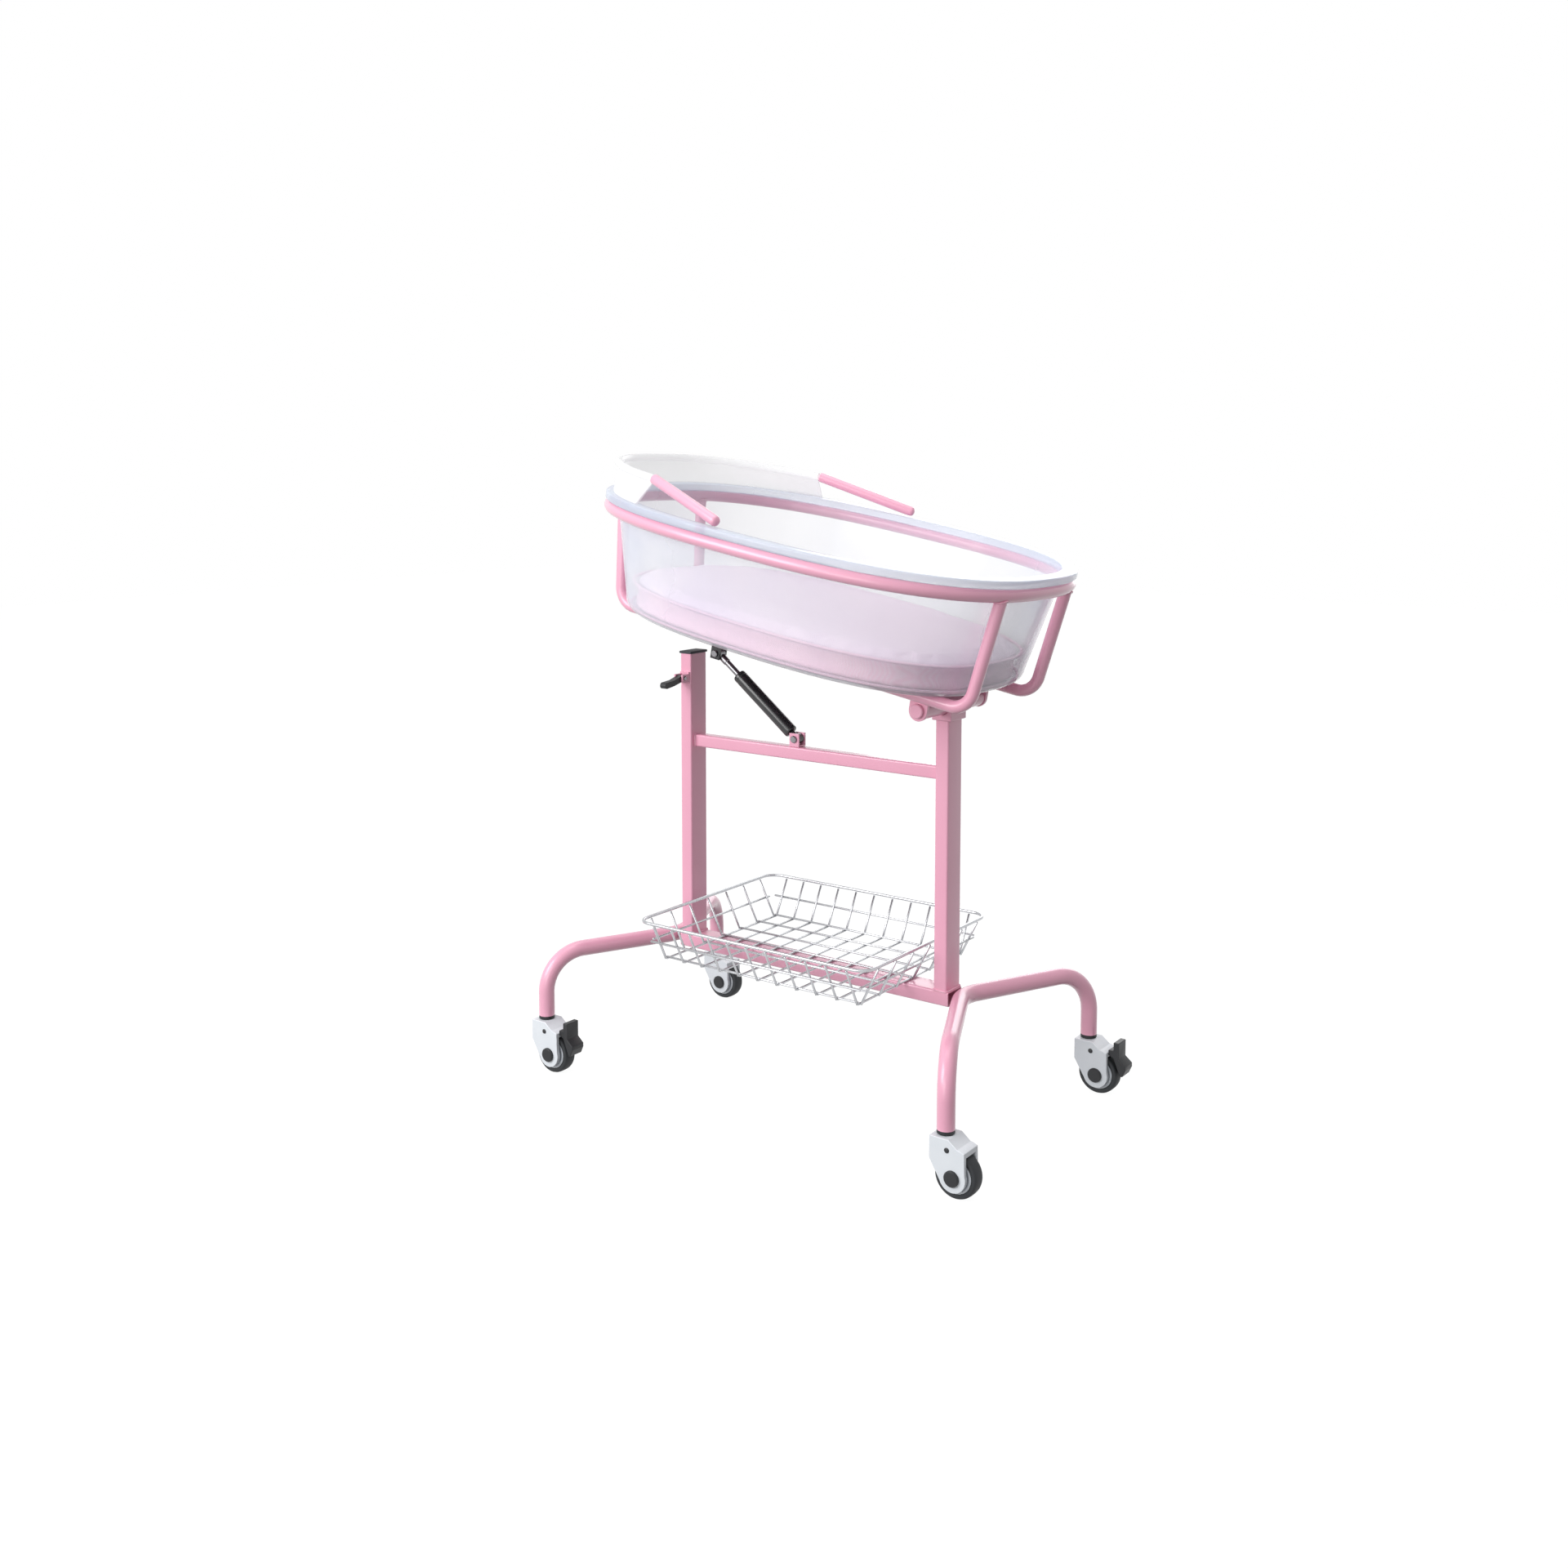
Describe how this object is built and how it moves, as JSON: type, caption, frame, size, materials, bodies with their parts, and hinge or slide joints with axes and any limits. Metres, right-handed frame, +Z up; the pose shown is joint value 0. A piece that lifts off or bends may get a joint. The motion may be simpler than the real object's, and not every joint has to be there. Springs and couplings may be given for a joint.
{
  "type": "hospital bassinet",
  "caption": "Rolling hospital bassinet: a tilting oval cradle frame with a clear basin and mattress, on a post trolley with swivel casters and a wire basket.",
  "frame": {"origin": "on the floor, under the middle of the outline seen from above", "axes": "+Z up, +X from the raised head end to the hinged foot end, +Y from the front to the back"},
  "size_m": [0.816, 0.547, 0.9801],
  "materials": {
    "pink_paint": "smooth pink powder coat",
    "steel": "bright steel",
    "wire": "bright plated wire",
    "black_steel": "black paint, semi-gloss",
    "black_plastic": "moulded, matt",
    "white_plastic": "moulded, satin",
    "tyre_rubber": "smooth grey-black rubber",
    "clear_plastic": "clear moulded tub, polished",
    "milky_plastic": "milky translucent panel",
    "mattress_cover": "plain woven cover"
  },
  "bodies": {
    "trolley": {"base_beam": "pink_paint", "left_leg_bow": "pink_paint", "right_leg_bow": "pink_paint", "left_post": "pink_paint", "right_post": "pink_paint", "left_post_cap": "black_plastic", "crossbar": "pink_paint", "spring_clevis": "pink_paint", "lower_spring_pin": "steel", "hinge_saddle": "pink_paint", "hinge_barrel": "pink_paint", "hinge_pin": "pink_paint", "lever_bracket": "pink_paint", "lever_pin": "steel", "basket_rim": "wire", "basket_floor": "wire", "basket_front": "wire", "basket_back": "wire", "basket_left": "wire", "basket_right": "wire", "front_left_caster_stem": "black_plastic", "front_right_caster_stem": "black_plastic", "back_left_caster_stem": "black_plastic", "back_right_caster_stem": "black_plastic"},
    "cradle": {"cradle_ring": "pink_paint", "front_rail": "pink_paint", "back_rail": "pink_paint", "front_hinge_lug": "pink_paint", "back_hinge_lug": "pink_paint", "cross_plate": "pink_paint", "upper_spring_bracket": "black_steel", "upper_spring_pin": "steel"},
    "basin": {"basin": "clear_plastic", "mattress": "mattress_cover", "head_guard": "milky_plastic", "front_guard_arm": "pink_paint", "back_guard_arm": "pink_paint"},
    "spring_cylinder": {"spring_cylinder": "black_steel"},
    "spring_rod": {"spring_rod": "steel"},
    "release_lever": {"release_lever": "black_plastic"},
    "front_left_caster": {"front_left_caster_hood": "white_plastic", "front_left_axle": "black_plastic"},
    "front_left_wheel": {"front_left_wheel": "white_plastic", "front_left_tyre": "tyre_rubber"},
    "front_left_brake": {"front_left_brake_pedal": "black_plastic"},
    "front_right_caster": {"front_right_caster_hood": "white_plastic", "front_right_axle": "black_plastic"},
    "front_right_wheel": {"front_right_wheel": "white_plastic", "front_right_tyre": "tyre_rubber"},
    "back_left_caster": {"back_left_caster_hood": "white_plastic", "back_left_axle": "black_plastic"},
    "back_left_wheel": {"back_left_wheel": "white_plastic", "back_left_tyre": "tyre_rubber"},
    "back_right_caster": {"back_right_caster_hood": "white_plastic", "back_right_axle": "black_plastic"},
    "back_right_wheel": {"back_right_wheel": "white_plastic", "back_right_tyre": "tyre_rubber"},
    "back_right_brake": {"back_right_brake_pedal": "black_plastic"}
  },
  "joints": [
    {"name": "cradle_tilt", "type": "hinge", "parent": "trolley", "child": "cradle", "pos_m": [0.214, 0, 0.617], "axis": [0, 1, 0], "range_deg": [-5, 5]},
    {"name": "basin_lift_out", "type": "slide", "parent": "cradle", "child": "basin", "axis": [0.1788, 0, 0.9839], "range_m": [0, 0.25]},
    {"name": "spring_lean", "type": "hinge", "parent": "trolley", "child": "spring_cylinder", "pos_m": [-0.057, 0, 0.5373], "axis": [0, 1, 0], "range_deg": [-10.5, 10.5]},
    {"name": "spring_stroke", "type": "slide", "parent": "spring_cylinder", "child": "spring_rod", "axis": [-0.7862, 0, 0.618], "range_m": [-0.0225, 0.0225]},
    {"name": "lever_press", "type": "hinge", "parent": "trolley", "child": "release_lever", "pos_m": [-0.266, -0.0323, 0.619], "axis": [1, 0, 0], "range_deg": [0, 18], "stiffness_Nm_per_rad": 0.6},
    {"name": "front_left_swivel", "type": "hinge", "parent": "trolley", "child": "front_left_caster", "pos_m": [-0.393, -0.217, 0.082], "axis": [0, 0, 1], "continuous": true},
    {"name": "front_left_roll", "type": "hinge", "parent": "front_left_caster", "child": "front_left_wheel", "pos_m": [-0.373, -0.217, 0.03173], "axis": [0, 1, 0], "continuous": true},
    {"name": "front_left_brake_press", "type": "hinge", "parent": "front_left_caster", "child": "front_left_brake", "pos_m": [-0.35016, -0.217, 0.06973], "axis": [0, 1, 0], "range_deg": [0, 4]},
    {"name": "front_right_swivel", "type": "hinge", "parent": "trolley", "child": "front_right_caster", "pos_m": [0.341, -0.217, 0.082], "axis": [0, 0, 1], "continuous": true},
    {"name": "front_right_roll", "type": "hinge", "parent": "front_right_caster", "child": "front_right_wheel", "pos_m": [0.361, -0.217, 0.03173], "axis": [0, 1, 0], "continuous": true},
    {"name": "back_left_swivel", "type": "hinge", "parent": "trolley", "child": "back_left_caster", "pos_m": [-0.393, 0.217, 0.082], "axis": [0, 0, 1], "continuous": true},
    {"name": "back_left_roll", "type": "hinge", "parent": "back_left_caster", "child": "back_left_wheel", "pos_m": [-0.373, 0.217, 0.03173], "axis": [0, 1, 0], "continuous": true},
    {"name": "back_right_swivel", "type": "hinge", "parent": "trolley", "child": "back_right_caster", "pos_m": [0.341, 0.217, 0.082], "axis": [0, 0, 1], "continuous": true},
    {"name": "back_right_roll", "type": "hinge", "parent": "back_right_caster", "child": "back_right_wheel", "pos_m": [0.361, 0.217, 0.03173], "axis": [0, 1, 0], "continuous": true},
    {"name": "back_right_brake_press", "type": "hinge", "parent": "back_right_caster", "child": "back_right_brake", "pos_m": [0.38384, 0.217, 0.06973], "axis": [0, 1, 0], "range_deg": [0, 4]}
  ],
  "couplings": [
    {"joint": "spring_lean", "follows": "cradle_tilt", "ratio": 1.8175},
    {"joint": "spring_stroke", "follows": "cradle_tilt", "m_per_rad": 0.228}
  ]
}
